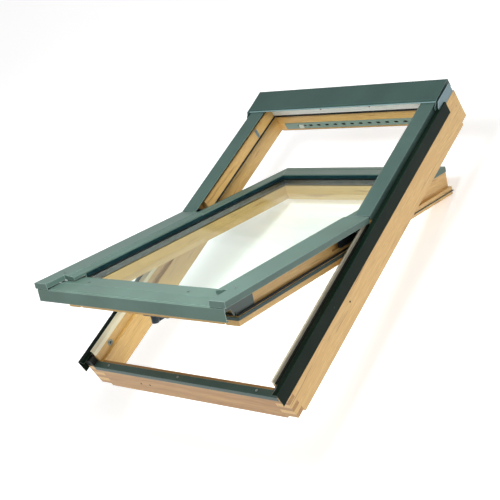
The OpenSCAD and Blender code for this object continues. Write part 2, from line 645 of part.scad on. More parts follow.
// ---- handle ----
base_t = 4;
module handle_base() swung() color([0.25, 0.29, 0.31]) difference() {
    translate([0, 0, -sash_z - base_t]) linear_extrude(base_t) polygon(soft([
        [grip_right - grip_base, lip_low + 3, 8], [grip_right, lip_low + 3, 8],
        [grip_right, lip_low + 27, 8], [grip_right - grip_base, lip_low + 27, 8]], 5));
    rod_z(-sash_z - base_t - 1, -sash_z + 1, grip_x, grip_y, 5 + hub_play);
}

module handle_lever() swung() color([0.30, 0.34, 0.36]) {
    rod_z(-sash_z - base_t, -sash_z - 0.3, grip_x, grip_y, 5);
    difference() {
        union() {
            rod_z(-sash_z - grip_drop, -sash_z - base_t - 0.5, grip_x, grip_y, grip_r);
            rod_z(-sash_z - base_t - 1, -sash_z - base_t, grip_x, grip_y, 5);
        }
    }
    translate([0, 0, -sash_z - grip_drop]) linear_extrude(9) polygon(soft([[grip_x - grip_r + 1, grip_y],
        [grip_x + grip_r - 1, grip_y], [grip_x + 8, grip_y + lever_len, 7],
        [grip_x - 8, grip_y + lever_len, 7]], 5));
}

// ---- small fixings on the sash ----
module sash_screws() swung() color(steel) {
    let (y = foot_back - 27, z = foot_top(y - 3.5) + 0.01)
        for (x = [-body_hx * 0.69, body_hx * 0.535]) rod_z(z, z + 1.8, x, y, 3.5);
    pair() rod_z(cover_h, cover_h + 1.2, body_hx + 13, inner_low + 17, 3.5);
}

module bolt_barrel() swung() color([0.62, 0.64, 0.64]) difference() {
    block([-body_hx + 2, body_up, -ledge_z],
        [-body_hx + 62, body_up + 2 * bolt_r + 4, -ledge_z + 2 * bolt_r + 6]);
    rod_x(-body_hx, -body_hx + 63, bolt_y, bolt_z, bolt_r + bolt_play);
}

module bolt_rod() swung() color([0.75, 0.77, 0.77]) {
    rod_x(-body_hx + 0.5, -body_hx + 98, bolt_y, bolt_z, bolt_r);
    rod_x(-body_hx + 92.5, -body_hx + 98, bolt_y, bolt_z, bolt_r + 1.5);
}

frame_side_left();
frame_side_right();
frame_head();
frame_sill();
stop_left();
stop_right();
stop_seals();
bead_left();
bead_right();
groove_seals();
angle_left();
angle_right();
angle_packers();
corner_blocks();
upper_cover_left();
upper_cover_right();
cover_clips();
hood();
hood_blocks();
hood_brackets();
head_strip();
sill_cover();
vent_grille();
track_left();
track_right();
bolt_bush();
stop_plate();
sill_keeper();
frame_screws();
frame_nails();
vent_slider();
stile_left();
stile_right();
sash_head();
sash_foot();
outer_pane();
pane_spacer();
inner_pane();
lower_cover_left();
lower_cover_right();
trim_left();
trim_right();
trim_head();
foot_cladding();
cover_packers();
glass_seal();
ledge_seals();
side_seals();
head_seal();
corner_plates();
hub_left();
hub_right();
handle_base();
sash_screws();
bolt_barrel();
bolt_rod();
handle_lever();
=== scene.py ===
# Centre-pivot roof skylight: finishes, small fixings, floor, light and camera round the fixed CAD frame.
import bpy
import json
import math
from mathutils import Euler, Matrix, Vector


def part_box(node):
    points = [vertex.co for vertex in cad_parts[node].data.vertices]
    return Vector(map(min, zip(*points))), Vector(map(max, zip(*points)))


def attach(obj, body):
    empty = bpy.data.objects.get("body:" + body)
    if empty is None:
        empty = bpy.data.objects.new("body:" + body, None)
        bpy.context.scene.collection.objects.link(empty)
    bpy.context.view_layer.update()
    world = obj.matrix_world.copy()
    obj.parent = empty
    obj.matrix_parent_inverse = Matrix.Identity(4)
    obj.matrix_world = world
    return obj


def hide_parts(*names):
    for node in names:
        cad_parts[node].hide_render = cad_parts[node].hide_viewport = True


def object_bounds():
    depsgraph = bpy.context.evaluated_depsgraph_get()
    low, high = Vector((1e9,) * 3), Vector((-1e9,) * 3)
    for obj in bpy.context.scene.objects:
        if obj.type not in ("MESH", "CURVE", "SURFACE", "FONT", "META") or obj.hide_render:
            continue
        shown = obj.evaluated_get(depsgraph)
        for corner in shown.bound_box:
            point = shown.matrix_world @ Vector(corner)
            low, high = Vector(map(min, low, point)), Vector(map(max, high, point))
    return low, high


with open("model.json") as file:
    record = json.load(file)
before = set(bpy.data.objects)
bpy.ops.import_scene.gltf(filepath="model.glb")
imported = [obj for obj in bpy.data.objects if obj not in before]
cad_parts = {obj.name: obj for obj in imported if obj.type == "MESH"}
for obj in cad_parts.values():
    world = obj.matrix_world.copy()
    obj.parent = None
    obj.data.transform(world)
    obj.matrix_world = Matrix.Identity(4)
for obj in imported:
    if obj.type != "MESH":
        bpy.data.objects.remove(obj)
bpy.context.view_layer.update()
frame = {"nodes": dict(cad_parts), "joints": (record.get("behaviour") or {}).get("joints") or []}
nodes = frame["nodes"]
joints = {joint["name"]: joint for joint in frame["joints"]}
mm = 0.001
print("frame loaded:", len(nodes), "nodes")

# The sash rests open by its closing range, turned about the hinge axis.
pivot = Vector(joints["sash_pivot"]["pos_m"])
sashTilt = math.radians(-joints["sash_pivot"]["range_deg"][0])
sashPlace = Matrix.Translation(pivot) @ Matrix.Rotation(-sashTilt, 4, "X") @ Matrix.Translation(-pivot)
sashBack = sashPlace.inverted()


def tone(red, green, blue):
    # a screen colour from 0 to 255, as the linear colour that a socket takes
    linear = []
    for part in (red, green, blue):
        part = part / 255
        linear.append(part / 12.92 if part <= 0.04045 else ((part + 0.055) / 1.055) ** 2.4)
    return (*linear, 1.0)


def grey(value):
    return (value, value, value, 1)


def shifted(colour, share, lift=0.0):
    return [min(1, part * share + lift) for part in colour[:3]] + [1]


def newFinish(name, sockets):
    finish = bpy.data.materials.new(name)
    finish.use_nodes = True
    tree = finish.node_tree
    skin = tree.nodes["Principled BSDF"]
    for socket, value in sockets.items():
        skin.inputs[socket].default_value = value
    return finish, tree, skin


def plug(tree, new, key, value):
    if isinstance(value, bpy.types.NodeSocket):
        tree.links.new(value, new.inputs[key])
    else:
        new.inputs[key].default_value = value


def node(tree, kind, sockets=None, **settings):
    new = tree.nodes.new(kind)
    for key, value in settings.items():
        setattr(new, key, value)
    for key, value in (sockets or {}).items():
        plug(tree, new, key, value)
    return new


def ramp(tree, factor, stops):
    new = node(tree, "ShaderNodeValToRGB", {"Fac": factor})
    points = new.color_ramp.elements
    while len(points) < len(stops):
        points.new(0.5)
    for point, (place, colour) in zip(points, stops):
        point.position, point.color = place, colour
    return new.outputs["Color"]


def sums(tree, operation, first, second):
    return node(tree, "ShaderNodeMath", {0: first, 1: second}, operation=operation).outputs[0]


def vectorSums(tree, operation, first, second):
    return node(tree, "ShaderNodeVectorMath", {0: first, 1: second}, operation=operation).outputs[0]


def blendColour(tree, factor, first, second):
    new = node(tree, "ShaderNodeMix", data_type="RGBA")
    for index, value in ((0, factor), (6, first), (7, second)):
        plug(tree, new, index, value)
    return new.outputs[2]


def objectPlace(tree, turn=0.0, stretch=(1, 1, 1)):
    place = node(tree, "ShaderNodeTexCoord").outputs["Object"]
    turned = node(tree, "ShaderNodeMapping", {"Vector": place, "Rotation": (turn, 0, 0)})
    return vectorSums(tree, "MULTIPLY", turned.outputs[0], stretch)


def cloud(tree, place, scale, detail=3.0, rough=0.55):
    return node(tree, "ShaderNodeTexNoise", {"Vector": place, "Scale": scale, "Detail": detail,
                                             "Roughness": rough}).outputs["Fac"]


# how far the rounded normal leans from the true one, as a cosine, where the edge wear and painted highlight
# start and where they are full
edgeLean = {"start": 0.995, "full": 0.80, "samples": 4}


# lightens the rounded edges towards a lighter colour: painted highlight along the edges, with some edge wear
def rubEdges(tree, base, width, amount, wornLitColour):
    rounded = node(tree, "ShaderNodeBevel", {"Radius": width}, samples=edgeLean["samples"])
    flat = node(tree, "ShaderNodeNewGeometry").outputs["Normal"]
    lean = node(tree, "ShaderNodeVectorMath", {0: rounded.outputs[0], 1: flat},
                operation="DOT_PRODUCT").outputs["Value"]
    edge = node(tree, "ShaderNodeMapRange", {"Value": lean, "From Min": edgeLean["start"],
                                             "From Max": edgeLean["full"], "To Min": 0.0,
                                             "To Max": 1.0}).outputs[0]
    return blendColour(tree, sums(tree, "MULTIPLY", edge, amount), base, wornLitColour)


def dress(tree, skin, colour, gloss, height, strength, distance):
    tree.links.new(colour, skin.inputs["Base Color"])
    tree.links.new(gloss, skin.inputs["Roughness"])
    bump = node(tree, "ShaderNodeBump", {"Height": height, "Strength": strength, "Distance": distance})
    tree.links.new(bump.outputs[0], skin.inputs["Normal"])


pine = {
    "light": tone(234, 198, 128),
    "mid": tone(212, 170, 102),
    "dark": tone(156, 108, 52),
    "glue": tone(140, 98, 54),
    "lamella": 38.5 * mm,     # depth of one glued layer
    "glueLine": 0.014,        # width of a glue line, as a share of a layer
    "fibre": (260.0, 5.0),    # how fine the fibres are across the grain and along it
    "ring": (34.0, 1.6),      # the same for the growth rings
    "waver": 0.05,
    "waverScale": 2.2,
    "ringNoise": (3.0, 4.0, 0.6),      # scale, detail and roughness
    "fibreNoise": (2.0, 3.0, 0.6),
    "darkPatchNoise": (0.8, 4.0, 0.7),
    "darkPatchLeft": 0.35,        # share of the darkening that the lightest patches keep
    "mute": 0.38,
    "fibreShade": 0.30,
    "layerShade": 0.30,
    "glueShade": 0.35,
    # share of the painted edge highlight, with some wear
    "edgeWearAndHighlight": 0.30,
    "edgeWidth": 1.6 * mm,
    "rough": (0.36, 0.58),
    "bump": (0.22, 0.25 * mm),
    "coat": {"Coat Weight": 0.22, "Coat Roughness": 0.22, "Specular IOR Level": 0.45},
}


def alongGrain(pair, along):
    across, lengthways = pair
    return [lengthways if axis == along else across for axis in "xyz"]


def pineFinish(name, along, turn=0.0, layerShift=0.0, darkening=0.0):
    finish, tree, skin = newFinish(name, pine["coat"])
    place = objectPlace(tree, turn)
    wave = node(tree, "ShaderNodeTexNoise", {"Vector": place, "Scale": pine["waverScale"], "Detail": 2.0})
    push = vectorSums(tree, "MULTIPLY", wave.outputs["Color"], [pine["waver"]] * 3)
    bent = vectorSums(tree, "ADD", place, push)
    ringPlace = vectorSums(tree, "MULTIPLY", bent, alongGrain(pine["ring"], along))
    fibrePlace = vectorSums(tree, "MULTIPLY", bent, alongGrain(pine["fibre"], along))
    rings = cloud(tree, ringPlace, *pine["ringNoise"])
    fibres = cloud(tree, fibrePlace, *pine["fibreNoise"])
    # glued layers, each a little lighter or darker, with a thin line between them
    depth = node(tree, "ShaderNodeSeparateXYZ", {"Vector": place}).outputs["Z"]
    layer = sums(tree, "DIVIDE", sums(tree, "ADD", depth, layerShift), pine["lamella"])
    layerTone = node(tree, "ShaderNodeTexWhiteNoise", {"W": sums(tree, "FLOOR", layer, 0.0)},
                     noise_dimensions="1D").outputs["Value"]
    lineStops = [(0.0, grey(1)), (pine["glueLine"], grey(0)), (1 - pine["glueLine"], grey(0)), (1.0, grey(1))]
    line = ramp(tree, sums(tree, "FRACT", layer, 0.0), lineStops)
    grain = ramp(tree, rings, [(0.30, pine["light"]), (0.50, pine["mid"]), (0.56, pine["light"]),
                               (0.68, pine["dark"])])
    grain = blendColour(tree, pine["mute"], grain, pine["mid"])
    threads = ramp(tree, fibres, [(0.35, grey(0)), (0.75, grey(pine["fibreShade"]))])
    grain = blendColour(tree, threads, grain, pine["dark"])
    grain = blendColour(tree, sums(tree, "MULTIPLY", layerTone, pine["layerShade"]), grain, pine["dark"])
    grain = blendColour(tree, sums(tree, "MULTIPLY", line, pine["glueShade"]), grain, pine["glue"])
    # the whole piece darkens in broad patches, more as this share rises
    if darkening:
        darkPatch = ramp(tree, cloud(tree, ringPlace, *pine["darkPatchNoise"]),
                     [(0.35, grey(darkening)), (0.70, grey(darkening * pine["darkPatchLeft"]))])
        grain = blendColour(tree, darkPatch, grain, pine["dark"])
    grain = rubEdges(tree, grain, pine["edgeWidth"], pine["edgeWearAndHighlight"], pine["light"])
    smooth, coarse = pine["rough"]
    gloss = ramp(tree, fibres, [(0.2, grey(smooth)), (0.9, grey(coarse))])
    dress(tree, skin, grain, gloss, fibres, *pine["bump"])
    return finish


sashShift = 7 * mm   # sets the sash's glued layers off from the frame's
timberY = pineFinish("lacqueredPineLong", "y")
timberX = pineFinish("lacqueredPineCross", "x")
timberSill = pineFinish("lacqueredPineSill", "x", darkening=1.0)
timberSash = pineFinish("lacqueredPineStile", "y", sashTilt, sashShift)
timberRail = pineFinish("lacqueredPineRail", "x", sashTilt, sashShift)

paintLook = {
    "darker": 0.84,
    "lighter": (1.14, 0.004),
    "streak": (30, 3, 30),    # dust runs down the slope
    "streakShade": 0.25,
    "hazeNoise": (5.0, 4.0, 0.6),        # scale, detail and roughness
    "streakNoise": (3.0, 3.0, 0.6),
    "speckNoise": (1400.0, 2.0, 0.5),
    "hazeHeight": 2.0,
    "edgeWidth": 2.2 * mm,
    "roughSpread": (-0.06, 0.10),
    "bump": (0.10, 0.06 * mm),
}


def paintedSheet(name, colour, wornLitEdgeColour, rough=0.42, wearAndHighlight=0.85, turn=0.0, metallic=0.0, shine=0.35):
    finish, tree, skin = newFinish(name, {"Metallic": metallic, "Specular IOR Level": shine})
    place = objectPlace(tree, turn)
    haze = cloud(tree, place, *paintLook["hazeNoise"])
    streak = cloud(tree, objectPlace(tree, turn, paintLook["streak"]), *paintLook["streakNoise"])
    speck = cloud(tree, place, *paintLook["speckNoise"])
    shade = shifted(colour, paintLook["darker"])
    lift = shifted(colour, *paintLook["lighter"])
    paint = ramp(tree, haze, [(0.30, shade), (0.50, colour), (0.72, lift)])
    dust = ramp(tree, streak, [(0.45, grey(0)), (0.80, grey(paintLook["streakShade"]))])
    paint = blendColour(tree, dust, paint, lift)
    # the folds and edges turn lighter: painted highlight along them, with some wear
    paint = rubEdges(tree, paint, paintLook["edgeWidth"], wearAndHighlight, wornLitEdgeColour)
    smoother, coarser = paintLook["roughSpread"]
    gloss = ramp(tree, haze, [(0.25, grey(rough + smoother)), (0.75, grey(rough + coarser))])
    height = sums(tree, "ADD", speck, sums(tree, "MULTIPLY", haze, paintLook["hazeHeight"]))
    dress(tree, skin, paint, gloss, height, *paintLook["bump"])
    return finish


fixedCover = paintedSheet("paintedFixedCover", tone(66, 89, 83), tone(140, 164, 158))
sashCover = paintedSheet("paintedSashCover", tone(82, 106, 98), tone(176, 198, 190), turn=sashTilt)
sashTrim = paintedSheet("paintedSashTrim", tone(84, 108, 99), tone(178, 200, 190), turn=sashTilt)
cornerPaint = paintedSheet("paintedCornerPlate", tone(84, 96, 92), tone(130, 144, 140), turn=sashTilt)
hoodPaint = paintedSheet("paintedHood", tone(52, 75, 70), tone(116, 144, 142))
# a much lighter coat on the hood's rolled lip: painted highlight along the hood's front
hoodLipHighlight = paintedSheet("paintedHoodLip", tone(112, 138, 140), tone(160, 182, 184))
# the angles are painted much darker than the covers: painted shade and painted dark reflection
shadedAnglePaint = paintedSheet("paintedAngle", tone(16, 30, 23), tone(74, 104, 90), rough=0.30, shine=0.06)
bracketPaint = paintedSheet("zincBracket", tone(112, 134, 140), tone(178, 196, 202), rough=0.34,
                            metallic=0.35)
hingeSteel = paintedSheet("hingeSteel", tone(52, 60, 66), tone(120, 130, 136), rough=0.33, metallic=0.55)
handlePaint = paintedSheet("handleMetal", tone(60, 72, 80), tone(140, 152, 160), rough=0.30, metallic=0.5,
                           turn=sashTilt)

mouldLook = {
    "patchNoise": (9.0, 4.0, 0.6),       # scale, detail and roughness
    "poreDetail": (3.0, 0.6),
    "poreShade": 0.12,
    "lighter": 0.003,
    # the edge's lighter colour, as a share and a lift: painted highlight with some wear
    "edge": (1.5, 0.03),
    "edgeWidth": 0.9 * mm,
    "roughSpread": (-0.07, 0.12),
    "bump": 0.30,
    # dark brown of the painted shade behind the grille
    "ductShade": tone(44, 28, 18),
}


def moulded(name, colour, rough=0.5, pores=900.0, depth=0.10, mottle=0.16, wearAndHighlight=0.35, shine=0.42,
            shadedBeyond=None):
    # past the given place along Y the part is painted dark brown: painted shade, as in the duct behind it
    finish, tree, skin = newFinish(name, {"Specular IOR Level": shine})
    place = objectPlace(tree)
    patch = cloud(tree, place, *mouldLook["patchNoise"])
    pits = cloud(tree, place, pores, *mouldLook["poreDetail"])
    low = shifted(colour, 1 - mottle)
    high = shifted(colour, 1 + mottle, mouldLook["lighter"])
    base = ramp(tree, patch, [(0.3, low), (0.7, high)])
    base = blendColour(tree, sums(tree, "MULTIPLY", pits, mouldLook["poreShade"]), base, low)
    base = rubEdges(tree, base, mouldLook["edgeWidth"], wearAndHighlight, shifted(colour, *mouldLook["edge"]))
    # paints the part dark brown past that place: painted shade
    if shadedBeyond is not None:
        across = node(tree, "ShaderNodeSeparateXYZ", {"Vector": place}).outputs["Y"]
        base = blendColour(tree, sums(tree, "GREATER_THAN", across, shadedBeyond), base, mouldLook["ductShade"])
    smoother, coarser = mouldLook["roughSpread"]
    gloss = ramp(tree, pits, [(0.3, grey(rough + smoother)), (0.8, grey(rough + coarser))])
    dress(tree, skin, base, gloss, pits, mouldLook["bump"], depth * mm)
    return finish


sliderWhite = tone(196, 202, 192)
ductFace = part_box("vent_grille")[0].y
sealRubber = moulded("sealRubber", tone(22, 26, 26), rough=0.62, pores=700.0, depth=0.12)
blackPlastic = moulded("blackPlastic", tone(30, 34, 34), rough=0.48, pores=1100.0, depth=0.06)
creamBead = moulded("creamBead", tone(236, 228, 202), rough=0.44, pores=600.0, depth=0.05, mottle=0.04,
                    wearAndHighlight=0.2)
whiteStrip = moulded("whiteStrip", tone(250, 250, 248), rough=0.40, pores=700.0, depth=0.04, mottle=0.03,
                     wearAndHighlight=0.2)
greySeal = moulded("greySeal", tone(66, 84, 82), rough=0.72, pores=420.0, depth=0.20, mottle=0.12)
ventPlastic = moulded("ventPlastic", tone(122, 144, 134), rough=0.46, depth=0.06, mottle=0.08)
sliderPlastic = moulded("sliderPlastic", sliderWhite, rough=0.40, depth=0.05, mottle=0.03)
# the shutter's part behind the grille face is painted dark: painted shade
shutterPlastic = moulded("shutterPlastic", sliderWhite, rough=0.40, depth=0.05, mottle=0.03, shadedBeyond=ductFace)
bushPlastic = moulded("bushPlastic", tone(132, 142, 138), rough=0.45, depth=0.05, mottle=0.08)
# dark teal that paints the shade on the trims' inner walls
linerSeal = moulded("linerSeal", tone(10, 40, 44), rough=0.70, depth=0.05, mottle=0.2, wearAndHighlight=0.1, shine=0.08)
# near-black foam that paints the shade inside the vent's holes
filterFoam = moulded("filterFoam", tone(24, 15, 10), rough=0.85, pores=260.0, depth=0.6, mottle=0.25)

steelLook = {
    "spinNoise": (620.0, 3.0, 0.6),      # scale, detail and roughness
    "castNoise": (70.0, 3.0, 0.6),
    "metallic": 0.9,
    "darker": 0.75,
    # the edge's lighter share: painted highlight with some wear
    "edge": 1.3,
    "edgeWidth": 0.4 * mm,
    "wearAndHighlight": 0.5,
    "roughSpread": (-0.08, 0.14),
    "bump": (0.15, 0.04 * mm),
}


def bareSteel(name, colour, rough=0.30, darkPatch=None):
    finish, tree, skin = newFinish(name, {"Metallic": steelLook["metallic"]})
    place = objectPlace(tree)
    spin = cloud(tree, place, *steelLook["spinNoise"])
    cast = cloud(tree, place, *steelLook["castNoise"])
    base = ramp(tree, cast, [(0.35, colour), (0.70, darkPatch or shifted(colour, steelLook["darker"]))])
    base = rubEdges(tree, base, steelLook["edgeWidth"], steelLook["wearAndHighlight"], shifted(colour, steelLook["edge"]))
    smoother, coarser = steelLook["roughSpread"]
    gloss = ramp(tree, spin, [(0.2, grey(rough + smoother)), (0.8, grey(rough + coarser))])
    dress(tree, skin, base, gloss, spin, *steelLook["bump"])
    return finish


screwSteel = bareSteel("screwSteel", tone(176, 184, 186))
screwBrass = bareSteel("passivatedScrew", tone(168, 132, 112), rough=0.36, darkPatch=tone(140, 96, 78))
nailSteel = bareSteel("nailSteel", tone(96, 78, 62), rough=0.55, darkPatch=tone(70, 48, 34))
boltSteel = bareSteel("boltSteel", tone(188, 192, 194), rough=0.24)
spacerMetal = bareSteel("spacerMetal", tone(128, 132, 132), rough=0.38)

glassLook = {
    "smearNoise": (7.0, 4.0, 0.6),       # scale, detail and roughness
    "index": 1.5,
    "tint": tone(250, 253, 252),
    "sheen": tone(225, 235, 232),
    "sheenHigh": tone(236, 243, 241),
    "smooth": 0.02,
    "steepness": 4.0,
    "mirror": (0.010, 0.17),   # share that mirrors, seen straight on and at a glancing angle
}


def glassFinish(name):
    # clear pane: looks through with a slight green tint, and mirrors more at a glancing angle
    finish, tree, skin = newFinish(name, {"Roughness": glassLook["smooth"], "IOR": glassLook["index"],
                                          "Metallic": 1.0})
    smear = cloud(tree, objectPlace(tree), *glassLook["smearNoise"])
    sheen = ramp(tree, smear, [(0.3, glassLook["sheen"]), (0.8, glassLook["sheenHigh"])])
    tree.links.new(sheen, skin.inputs["Base Color"])
    through = node(tree, "ShaderNodeBsdfTransparent", {"Color": glassLook["tint"]})
    facing = node(tree, "ShaderNodeLayerWeight", {"Blend": 0.5}).outputs["Facing"]
    steep = sums(tree, "POWER", facing, glassLook["steepness"])
    least, most = glassLook["mirror"]
    amount = node(tree, "ShaderNodeMapRange", {"Value": steep, "To Min": least, "To Max": most}).outputs[0]
    mix = node(tree, "ShaderNodeMixShader", {0: amount, 1: through.outputs[0], 2: skin.outputs[0]})
    tree.links.new(mix.outputs[0], tree.nodes["Material Output"].inputs["Surface"])
    return finish


clearGlass = glassFinish("clearGlass")

finishes = {
    timberY: ["frame_side_left", "frame_side_right", "stop_left", "stop_right"],
    timberX: ["frame_head"],
    timberSill: ["frame_sill"],
    timberSash: ["stile_left", "stile_right"],
    timberRail: ["sash_head", "sash_foot"],
    sealRubber: ["stop_seals", "groove_seals", "ledge_seals", "glass_seal"],
    creamBead: ["bead_left", "bead_right"],
    shadedAnglePaint: ["angle_left", "angle_right"],
    blackPlastic: ["angle_packers", "corner_blocks", "cover_clips", "hood_blocks", "cover_packers"],
    fixedCover: ["upper_cover_left", "upper_cover_right", "sill_cover"],
    sashCover: ["lower_cover_left", "lower_cover_right"],
    hoodPaint: ["hood"],
    sashTrim: ["trim_left", "trim_right", "trim_head", "foot_cladding"],
    bracketPaint: ["hood_brackets", "stop_plate", "sill_keeper"],
    whiteStrip: ["head_strip"],
    ventPlastic: ["vent_grille"],
    shutterPlastic: ["vent_slider"],
    hingeSteel: ["track_left", "track_right", "hub_left", "hub_right"],
    cornerPaint: ["corner_plates"],
    bushPlastic: ["bolt_bush"],
    screwSteel: ["frame_screws", "sash_screws"],
    nailSteel: ["frame_nails"],
    clearGlass: ["outer_pane", "inner_pane"],
    spacerMetal: ["pane_spacer"],
    greySeal: ["side_seals", "head_seal"],
    handlePaint: ["handle_base", "handle_lever"],
    boltSteel: ["bolt_barrel", "bolt_rod"],
}
for finish, names in finishes.items():
    for name in names:
        for slot in nodes[name].material_slots:
            slot.material = finish
print("finishes on every node:", sum(len(names) for names in finishes.values()))


def clearSelection():
    bpy.ops.object.select_all(action="DESELECT")


def activate(piece):
    clearSelection()
    piece.select_set(True)
    bpy.context.view_layer.objects.active = piece


def applyPlace(piece):
    bpy.ops.object.transform_apply(location=True, rotation=True, scale=True)
    return piece


def editParts(piece, modes, kind, wanted):
    # leaves the piece in edit mode with the wanted faces or edges selected
    activate(piece)
    bpy.context.tool_settings.mesh_select_mode = modes
    bpy.ops.object.mode_set(mode="EDIT")
    bpy.ops.mesh.select_all(action="DESELECT")
    bpy.ops.object.mode_set(mode="OBJECT")
    for part in getattr(piece.data, kind):
        part.select = wanted(part)
    bpy.ops.object.mode_set(mode="EDIT")


def editFaces(piece, wanted):
    editParts(piece, (False, False, True), "polygons", lambda face: wanted(face.center, face.normal))


def editEdges(piece, wanted):
    editParts(piece, (False, True, False), "edges",
              lambda edge: wanted(*(piece.data.vertices[index].co for index in edge.vertices)))


def leaveEdit():
    bpy.ops.object.mode_set(mode="OBJECT")


def bevelAll(piece, width, segments=2, angle=0.6):
    activate(piece)
    bevel = piece.modifiers.new("softEdges", "BEVEL")
    bevel.width, bevel.segments, bevel.limit_method, bevel.angle_limit = width, segments, "ANGLE", angle
    bpy.ops.object.modifier_apply(modifier=bevel.name)


def carve(piece, tool):
    activate(piece)
    cut = piece.modifiers.new("recess", "BOOLEAN")
    cut.operation, cut.solver, cut.object = "DIFFERENCE", "EXACT", tool
    bpy.ops.object.modifier_apply(modifier=cut.name)
    bpy.data.objects.remove(tool)


def boxBetween(name, low, high):
    clearSelection()
    low, high = Vector(low), Vector(high)
    bpy.ops.mesh.primitive_cube_add(size=1, location=(low + high) / 2)
    piece = bpy.context.object
    piece.name = name
    piece.scale = high - low
    return applyPlace(piece)


def roundBar(name, radius, length, place, axis="Z", sides=32):
    clearSelection()
    spin = {"X": (0, math.pi / 2, 0), "Z": (0, 0, 0)}[axis]
    bpy.ops.mesh.primitive_cylinder_add(vertices=sides, radius=radius, depth=length, location=place,
                                        rotation=spin)
    piece = bpy.context.object
    piece.name = name
    return applyPlace(piece)


def joinAll(name, pieces):
    activate(pieces[0])
    for piece in pieces:
        piece.select_set(True)
    if len(pieces) > 1:
        bpy.ops.object.join()
    pieces[0].name = name
    return pieces[0]


weld = 0.02 * mm   # points nearer than this are one


def setDown(piece, finish, body, place=None, replaces=(), smooth=35):
    activate(piece)
    if place is not None:
        piece.data.transform(place)
    bpy.ops.object.mode_set(mode="EDIT")
    bpy.ops.mesh.select_all(action="SELECT")
    bpy.ops.mesh.remove_doubles(threshold=weld)
    bpy.ops.mesh.normals_make_consistent(inside=False)
    leaveEdit()
    bpy.ops.object.shade_smooth_by_angle(angle=math.radians(smooth))
    piece.data.materials.clear()
    piece.data.materials.append(finish)
    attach(piece, body)
    if replaces:
        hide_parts(*replaces)


def corners(points):
    return (Vector([min(point[i] for point in points) for i in range(3)]),
            Vector([max(point[i] for point in points) for i in range(3)]))


def closedBox(name):
    # a sash node's corners with the sash turned back flat
    return corners([sashBack @ vertex.co for vertex in nodes[name].data.vertices])


def looseParts(name, back=None):
    # middle and size of each separate solid in a node
    twin = bpy.data.objects.new("twin", nodes[name].data.copy())
    bpy.context.scene.collection.objects.link(twin)
    if back is not None:
        twin.data.transform(back)
    activate(twin)
    bpy.ops.object.mode_set(mode="EDIT")
    bpy.ops.mesh.select_all(action="SELECT")
    bpy.ops.mesh.remove_doubles(threshold=weld)
    bpy.ops.mesh.separate(type="LOOSE")
    leaveEdit()
    found = []
    for part in list(bpy.context.selected_objects):
        low, high = corners([vertex.co for vertex in part.data.vertices])
        found.append(((low + high) / 2, high - low))
        bpy.data.objects.remove(part)
    return sorted(found, key=lambda pair: tuple(round(c, 5) for c in pair[0]))


screwHead = {
    "reach": 0.62,       # this and the next three are shares of the head's radius
    "slot": 0.20,
    "rim": 0.22,
    "round": 0.12,
    "taper": 0.92,       # how far the crown narrows
    "crown": 0.06 * mm,
    "deep": 0.55,        # depth of the recess, as a share of the head's height
    "turn": (0.7, 0.3),  # step and start of the angle at which each head was driven home
    "thin": 0.6,         # a head's height is less than this share of its width
    "cutClear": 2 * mm,
}


def crossHead(name, radius, height):
    # stands on z = 0 with its recess on top
    crown = screwHead["crown"]
    head = roundBar(name, radius, height - crown, (0, 0, (height - crown) / 2))
    editFaces(head, lambda middle, normal: normal.z > 0.9)
    bpy.ops.mesh.inset(thickness=radius * screwHead["rim"], depth=0)
    bpy.ops.mesh.extrude_region_move(TRANSFORM_OT_translate={"value": (0, 0, crown)})
    bpy.ops.transform.resize(value=(screwHead["taper"], screwHead["taper"], 1))
    leaveEdit()
    bevelAll(head, radius * screwHead["round"], 2)
    reach, half = radius * screwHead["reach"], radius * screwHead["slot"] / 2
    floorZ, topZ = height * (1 - screwHead["deep"]), height + screwHead["cutClear"]
    for x, y in ((reach, half), (half, reach)):
        carve(head, boxBetween("slotTool", (-x, -y, floorZ), (x, y, topZ)))
    return head


def screwSet(name, spots, finish, body, replaced=(), place=None, facing=None):
    heads = []
    step, start = screwHead["turn"]
    for index, (middle, size) in enumerate(spots):
        axis = min(range(3), key=lambda i: size[i])
        outward = Vector([0, 0, 0])
        outward[axis] = 1 if axis == 2 or middle[axis] > 0 else -1
        if facing:
            outward = Vector(facing)
        head = crossHead(name + str(index), max(size) / 2, size[axis])
        turn = outward.to_track_quat("Z", "Y").to_matrix().to_4x4()
        spin = Matrix.Rotation(step * index + start, 4, "Z")
        head.data.transform(Matrix.Translation(middle - outward * size[axis] / 2) @ turn @ spin)
        heads.append(head)
    setDown(joinAll(name, heads), finish, body, place, replaced, 30)


def thinAlong(spots, axis):
    # the screws whose heads lie flat to this axis
    return [spot for spot in spots
            if all(spot[1][axis] < spot[1][other] * screwHead["thin"] for other in range(3) if other != axis)]


frameSpots = looseParts("frame_screws")
stripSpots = thinAlong(frameSpots, 1)
angleSpots = thinAlong(frameSpots, 0)
otherSpots = [spot for spot in frameSpots if spot not in stripSpots and spot not in angleSpots]
screwSet("angleScrews", angleSpots, shadedAnglePaint, "frame")
screwSet("stripScrews", stripSpots, screwBrass, "frame", facing=(0, -1, 0))
screwSet("frameScrewHeads", otherSpots, screwSteel, "frame", ("frame_screws",))
screwSet("sashScrewHeads", looseParts("sash_screws", sashBack), screwSteel, "sash", ("sash_screws",),
         sashPlace)
print("screws:", len(frameSpots), "on the frame")

